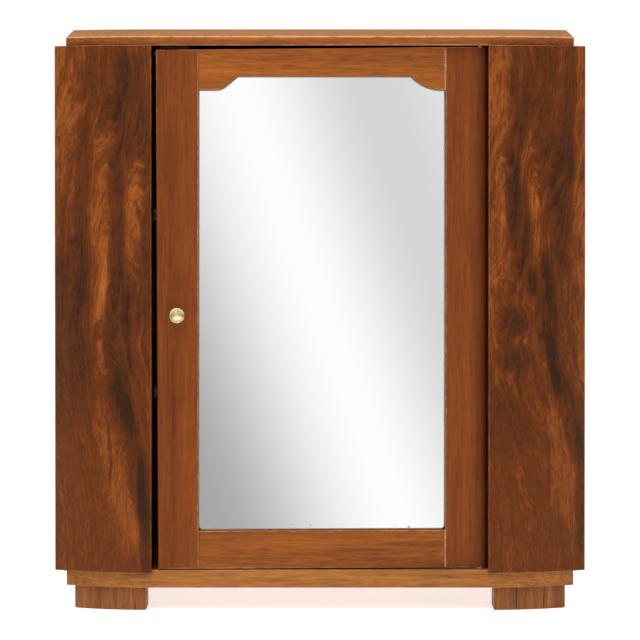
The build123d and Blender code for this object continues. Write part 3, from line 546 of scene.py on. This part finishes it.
def turned_brass(name, centre):
    """Brass with the fine rings that a lathe leaves about the knob's axis, and a painted darker reflection in
    wedges to the left and right of the knob's middle.
    """
    metal = bpy.context.scene.cabinet_metal
    paint = Paint(name)
    point = paint.turned(paint.place(), HINGE, AJAR)
    x, y, z = paint.split(point)
    reach = ((x - float(centre[0])) ** 2.0 + (z - float(centre[2])) ** 2.0) ** 0.5
    rings = (reach * (2 * math.pi / metal.ring_pitch)).wave()
    clouds = paint.noise(point, 260.0, 4.0, 0.6)
    shade = paint.mix(paint.step(clouds, 0.4, 0.75) * 0.6, tuple(metal.brass), tuple(metal.tarnish_and_dark_reflection))
    # painted reflection: a darker wedge to the left and right of the knob's middle, where the turned face's
    # highlight dims
    level = (z - float(centre[2])).size()
    painted_reflection_wedge = paint.step(level - reach * 0.3, -0.0008, 0.0006, 0.55, 0.0)
    shade = paint.mix(painted_reflection_wedge, shade, tuple(metal.tarnish_and_dark_reflection))
    return paint.finish(
        Base_Color=shade, Metallic=1.0, Roughness=0.24 + (clouds - 0.5) * 0.25,
        Normal=paint.bump(rings, 0.35, 0.00008),
    )


def silvered_glass(name):
    """A plate mirror with a ground, frosted arris and a few dark spots where the silvering has gone."""
    metal = bpy.context.scene.cabinet_metal
    paint = Paint(name)
    point = paint.turned(paint.place(), HINGE, AJAR)
    facing = paint.split(paint.node("ShaderNodeTexCoord", output=1))[1]
    ground = paint.step(facing, -0.95, -0.85)
    low = closed_span("mirror_glass")[0]
    above = paint.split(point)[2] - float(low[2])
    spots = paint.noise(point, 300.0, 2.0, 0.5)
    foxed = paint.step(spots, 0.70, 0.74) * paint.step(above, 0.002, 0.006, 1.0, 0.0)
    shade = paint.mix(foxed * 0.8, tuple(metal.silver), tint(70, 62, 54))
    shade = paint.mix(ground, shade, tint(250, 252, 250))
    haze = paint.noise(point, 9.0, 3.0, 0.5)
    return paint.finish(
        Base_Color=shade, Metallic=paint.step(ground, 0.0, 1.0, 1.0, 0.0),
        Roughness=0.02 + haze * 0.03 + ground * 0.4,
    )


# ---- surfaces ----------------------------------------------------------------------------------
def surface(name, points, close_u=False):
    """Makes a mesh from a grid of points, shaped (rows, columns, 3).

    close_u joins the last column to the first.
    """
    rows, columns = points.shape[:2]
    index = np.arange(rows * columns).reshape(rows, columns)
    following = np.roll(index, -1, axis=1) if close_u else index[:, 1:]
    here = index if close_u else index[:, :-1]
    faces = np.stack([here[:-1], following[:-1], following[1:], here[1:]], axis=-1).reshape(-1, 4)
    mesh = bpy.data.meshes.new(name)
    mesh.from_pydata(points.reshape(-1, 3).tolist(), [], faces.tolist())
    mesh.polygons.foreach_set("use_smooth", np.ones(len(faces), dtype=bool))
    thing = bpy.data.objects.new(name, mesh)
    bpy.context.scene.collection.objects.link(thing)
    return thing


def knob_profile(radius, reach):
    """Radius and height along the knob, from its foot to its nose, as straight and curved runs."""
    flare = np.linspace(0, 1, 24)
    neck = 0.44 * radius + (0.80 * radius - 0.44 * radius) * flare**2.6
    neck_height = 0.20 * reach + 0.50 * reach * flare
    lip = np.linspace(0, math.pi, 20)
    lip_radius = 0.80 * radius + 0.19 * radius * np.sin(lip / 2 * 1.15)
    lip_height = 0.70 * reach + 0.22 * reach * (1 - np.cos(lip)) / 2
    face = np.linspace(1, 0, 40)
    cone_radius = 0.80 * radius * face
    cone_height = 0.875 * reach + 0.115 * reach * (1 - face)
    foot = [0, 0.70, 0.72, 0.70, 0.52]
    radii = np.concatenate([foot, neck / radius, lip_radius / radius, [0.88, 0.83]])
    foot = [0, 0, 0.035, 0.07, 0.15]
    heights = np.concatenate([foot, neck_height / reach, lip_height / reach, [0.93, 0.90]])
    radii = np.concatenate([radii * radius, cone_radius])
    heights = np.concatenate([heights * reach, cone_height])
    return radii, heights


# ---- operators ---------------------------------------------------------------------------------
class CABINET_OT_pilasters(bpy.types.Operator):
    """Veneers the two bow-fronted pilasters with figured walnut and stains the four feet"""

    bl_idname = "cabinet.pilasters"
    bl_label = "Pilasters and feet"

    def execute(self, context):
        coat("pilaster_left", figured_walnut("pilaster left veneer", "pilaster_left", LEFT_FIGURE, 3.1))
        coat("pilaster_right", figured_walnut("pilaster right veneer", "pilaster_right", RIGHT_FIGURE, 9.4))
        wood = context.scene.cabinet_wood
        feet = [node for node in frame["nodes"] if node.startswith("foot_") and "screw" not in node]
        for number, node in enumerate(feet):
            coat(node, straight_wood(
                f"{node} walnut", node, ALONG_Z, wood.foot_light, wood.foot_dark, 4.0 + number, touch=cracked
            ))
        return {"FINISHED"}


class CABINET_OT_boards(bpy.types.Operator):
    """Finishes the top and base boards, the side panels and the back"""

    bl_idname = "cabinet.boards"
    bl_label = "Boards"

    def execute(self, context):
        wood = context.scene.cabinet_wood
        coat("top_board", straight_wood(
            "top walnut", "top_board", ALONG_X, wood.top_light, wood.top_dark, 1.0, touch=painted_chamfer_light_and_wear
        ))
        coat("base_board", straight_wood(
            "base walnut", "base_board", ALONG_X, wood.base_light, wood.base_dark, 2.0
        ))
        for seed, node in enumerate(("side_panel_left", "side_panel_right")):
            coat(node, straight_wood(
                f"{node} walnut", node, ALONG_Z, wood.rail_light, wood.stile_dark, 6.0 + seed
            ))
        coat("back_panel", straight_wood(
            "back plywood", "back_panel", ALONG_Z, wood.inside_light, wood.inside_dark, 2.0,
            contrast=0.8, polish=0.0
        ))
        return {"FINISHED"}


class CABINET_OT_inside(bpy.types.Operator):
    """Finishes the shelves, cleats, battens, stops and dowels in plain unpolished wood"""

    bl_idname = "cabinet.inside"
    bl_label = "Inside"

    def execute(self, context):
        wood = context.scene.cabinet_wood
        upright = ("corner_batten", "top_dowels", "base_dowels")
        lengthways = ("shelf_upper", "shelf_lower", "door_stop")
        for seed, node in enumerate(frame["nodes"]):
            if "screws" in node:
                continue
            if node.startswith("shelf_cleat"):
                along = ALONG_Y
            elif node.startswith(lengthways):
                along = ALONG_X
            elif node.startswith(upright):
                along = ALONG_Z
            else:
                continue
            coat(node, straight_wood(
                f"{node} wood", node, along, wood.inside_light, wood.inside_dark, 1.7 * seed, polish=0.05
            ))
        return {"FINISHED"}


class CABINET_OT_door_frame(bpy.types.Operator):
    """Finishes the door's stiles and rails, the mirror's backing and its beads"""

    bl_idname = "cabinet.door_frame"
    bl_label = "Door frame"

    def execute(self, context):
        wood = context.scene.cabinet_wood
        stiles = (("door_stile_knob", None), ("door_stile_hinge", painted_hinge_shade))
        for seed, (node, touch) in enumerate(stiles):
            coat(node, straight_wood(
                f"{node} walnut", node, ALONG_Z, wood.stile_light, wood.stile_dark, 3.0 + seed, AJAR,
                contrast=0.75, pored=0.18, touch=touch
            ))
        for seed, node in enumerate(("door_rail_top", "door_rail_bottom")):
            coat(node, straight_wood(
                f"{node} walnut", node, ALONG_X, wood.rail_light, wood.rail_dark, 5.5 + seed, AJAR,
                touch=filled_joints
            ))
        plain = ("bead_left", "bead_right", "bead_top", "bead_bottom", "mirror_backing")
        for seed, node in enumerate(plain):
            along = ALONG_X if node in ("bead_top", "bead_bottom") else ALONG_Z
            coat(node, straight_wood(
                f"{node} wood", node, along, wood.inside_light, wood.inside_dark, 8.0 + seed, AJAR, polish=0.0
            ))
        return {"FINISHED"}


class CABINET_OT_mirror(bpy.types.Operator):
    """Silvers the door's mirror plate"""

    bl_idname = "cabinet.mirror"
    bl_label = "Mirror"

    def execute(self, context):
        coat("mirror_glass", silvered_glass("silvered glass"))
        return {"FINISHED"}


class CABINET_OT_knob(bpy.types.Operator):
    """Turns the brass knob: a waisted neck, a rolled rim and a coned face with turning marks"""

    bl_idname = "cabinet.knob"
    bl_label = "Knob"

    def execute(self, context):
        metal = context.scene.cabinet_metal
        low, high = closed_span("knob")
        centre = np.array([(low[0] + high[0]) / 2, high[1], (low[2] + high[2]) / 2])
        radii, heights = knob_profile(metal.knob_radius, min(metal.knob_length, high[1] - low[1]))
        around = np.linspace(0, 2 * math.pi, 96, endpoint=False)
        points = np.stack([
            centre[0] + np.outer(radii, np.cos(around)),
            centre[1] - np.repeat(heights[:, None], len(around), axis=1),
            centre[2] + np.outer(radii, np.sin(around)),
        ], axis=-1)
        knob = surface("turned_knob", swung(points, AJAR), close_u=True)
        knob.data.materials.append(turned_brass("turned brass", centre))
        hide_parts("knob")
        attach(knob, "door")
        return {"FINISHED"}


class CABINET_OT_fittings(bpy.types.Operator):
    """Finishes the pivots, the catch and the hanger plates"""

    bl_idname = "cabinet.fittings"
    bl_label = "Fittings"

    def execute(self, context):
        metal = context.scene.cabinet_metal
        brass = aged_metal("dull brass", metal.brass, metal.tarnish_and_dark_reflection, 0.38)
        steel = aged_metal("dull steel", metal.steel, tint(96, 84, 70), 0.42)
        for node in frame["nodes"]:
            if node.startswith(("pivot_", "catch_barrel", "strike_", "door_pivot")):
                coat(node, brass)
            elif node.startswith(("catch_", "hanger_")) or "screw" in node or "pins" in node:
                coat(node, steel)
        return {"FINISHED"}


class CABINET_OT_studio(bpy.types.Operator):
    """Lays the pale floor, hangs the lights and places the camera"""

    bl_idname = "cabinet.studio"
    bl_label = "Studio"

    def execute(self, context):
        studio = context.scene.cabinet_studio
        floor_and_sky(studio)
        reflector()
        area_light("key light", (-0.5, -1.9, 2.3), (0.0, 0.0, 0.25), studio.key, 1.8)
        camera(studio)
        return {"FINISHED"}


def floor_and_sky(studio):
    """A flat sheet far wider than the cabinet, in a room of even white light."""
    width = 12.0
    side = np.linspace(-width / 2, width / 2, 25)
    x, y = np.meshgrid(side, side)
    floor = surface("floor", np.stack([x, y, np.zeros_like(x)], axis=-1))
    paint = Paint("floor paper")
    mottle = paint.noise(paint.place(), 3.0, 3.0, 0.5)
    shade = paint.mix(mottle * 0.3, tuple(studio.floor), tuple(c * 0.97 for c in studio.floor))
    floor.data.materials.append(paint.finish(
        Base_Color=shade, Roughness=0.8, Emission_Color=(1, 1, 1, 1), Emission_Strength=0.7
    ))
    world = bpy.data.worlds.new("white room")
    world.use_nodes = True
    tree = world.node_tree
    background = tree.nodes["Background"]
    background.inputs["Color"].default_value = (1, 1, 1, 1)
    seen = tree.nodes.new("ShaderNodeMapRange")
    seen.inputs["To Min"].default_value = studio.sky
    seen.inputs["To Max"].default_value = 1.0
    tree.links.new(tree.nodes.new("ShaderNodeLightPath").outputs["Is Camera Ray"], seen.inputs["Value"])
    tree.links.new(seen.outputs["Result"], background.inputs["Strength"])
    bpy.context.scene.world = world


def reflector():
    """A card in front of the door, seen only in reflections.

    It is white along one slanting line, and darkens softly to the left and less far to the right of it.
    """
    half = 0.9
    side = np.linspace(-half, half, 3)
    x, z = np.meshgrid(side, side + 0.3)
    y = np.full_like(x, HINGE[1] - 0.52)
    card = surface("graded card", np.stack([x, y, z], axis=-1))
    paint = Paint("graded card")
    x, y, z = paint.split(paint.place())
    slant = x * 0.84 - 0.027 + (z - 0.25) * 0.31  # metres to the right of the white line
    left = paint.step(slant, -0.165, 0.0, 0.38, 1.0)
    right = paint.step(slant, 0.0, 0.11, 1.0, 0.67)
    far_right = paint.step(slant, 0.11, 0.25, 0.0, 0.2)
    level = left * right + far_right
    outside = ((x - 0.036).size() - 0.135).high((z - 0.24).size() - 0.26)  # metres past the graded part
    seen = paint.mix(level, (0.0, 0.0, 0.0), (1.0, 1.0, 1.0))
    light = paint.mix(paint.step(outside, 0.0, 0.03), seen, (0.42, 0.42, 0.42))
    glow = paint.finish(Base_Color=(0, 0, 0, 1), Roughness=1.0, Emission_Color=light, Emission_Strength=1.0)
    card.data.materials.append(glow)
    card.visible_camera = False
    card.visible_diffuse = False
    card.visible_shadow = False
    card.visible_transmission = False


def aim(thing, place, target):
    """Sets an object at a place with its -Z axis pointing at a target."""
    thing.location = place
    thing.rotation_euler = (Vector(target) - Vector(place)).to_track_quat("-Z", "Y").to_euler()


def area_light(name, place, target, power, size):
    light = bpy.data.lights.new(name, "AREA")
    light.energy = power
    light.size = size
    thing = bpy.data.objects.new(name, light)
    bpy.context.scene.collection.objects.link(thing)
    aim(thing, place, target)


def camera(studio):
    """A long lens straight in front, above the cabinet's middle, that looks slightly down."""
    lens = bpy.data.cameras.new("camera")
    lens.lens = lens.sensor_width * studio.distance / studio.field
    lens.shift_y = -0.18
    eye_level = 0.2422  # above the middle of the view, as a share of its width
    pitch = math.atan((eye_level + lens.shift_y) * studio.field / studio.distance)
    thing = bpy.data.objects.new("camera", lens)
    front = span("pilaster_left")[0][1]
    thing.location = (0.0, float(front) - studio.distance, studio.eye_height)
    thing.rotation_euler = (math.pi / 2 - pitch, 0, 0)
    bpy.context.scene.collection.objects.link(thing)
    bpy.context.scene.camera = thing
    bpy.context.scene.view_settings.view_transform = "Standard"


OPERATORS = (
    CABINET_OT_pilasters,
    CABINET_OT_boards,
    CABINET_OT_inside,
    CABINET_OT_door_frame,
    CABINET_OT_mirror,
    CABINET_OT_knob,
    CABINET_OT_fittings,
    CABINET_OT_studio,
)
SETTINGS = {"cabinet_wood": CabinetWood, "cabinet_metal": CabinetMetal, "cabinet_studio": CabinetStudio}


class CABINET_PT_panel(bpy.types.Panel):
    """Lists the cabinet's pieces and settings"""

    bl_idname = "CABINET_PT_panel"
    bl_label = "Walnut Mirror Cabinet"
    bl_space_type = "VIEW_3D"
    bl_region_type = "UI"
    bl_category = "Cabinet"

    def draw(self, context):
        for operator in OPERATORS:
            self.layout.operator(operator.bl_idname)
        for name, group in SETTINGS.items():
            box = self.layout.box()
            box.label(text=group.__doc__)
            for key in group.__annotations__:
                box.prop(getattr(context.scene, name), key)


def register():
    for group in (*SETTINGS.values(), *OPERATORS, CABINET_PT_panel):
        bpy.utils.register_class(group)
    for name, group in SETTINGS.items():
        setattr(bpy.types.Scene, name, bpy.props.PointerProperty(type=group))


def unregister():
    for name in SETTINGS:
        delattr(bpy.types.Scene, name)
    for group in reversed((*SETTINGS.values(), *OPERATORS, CABINET_PT_panel)):
        bpy.utils.unregister_class(group)


def main():
    register()
    for operator in OPERATORS:
        group, name = operator.bl_idname.split(".")
        getattr(getattr(bpy.ops, group), name)()


if __name__ == "__main__":
    main()
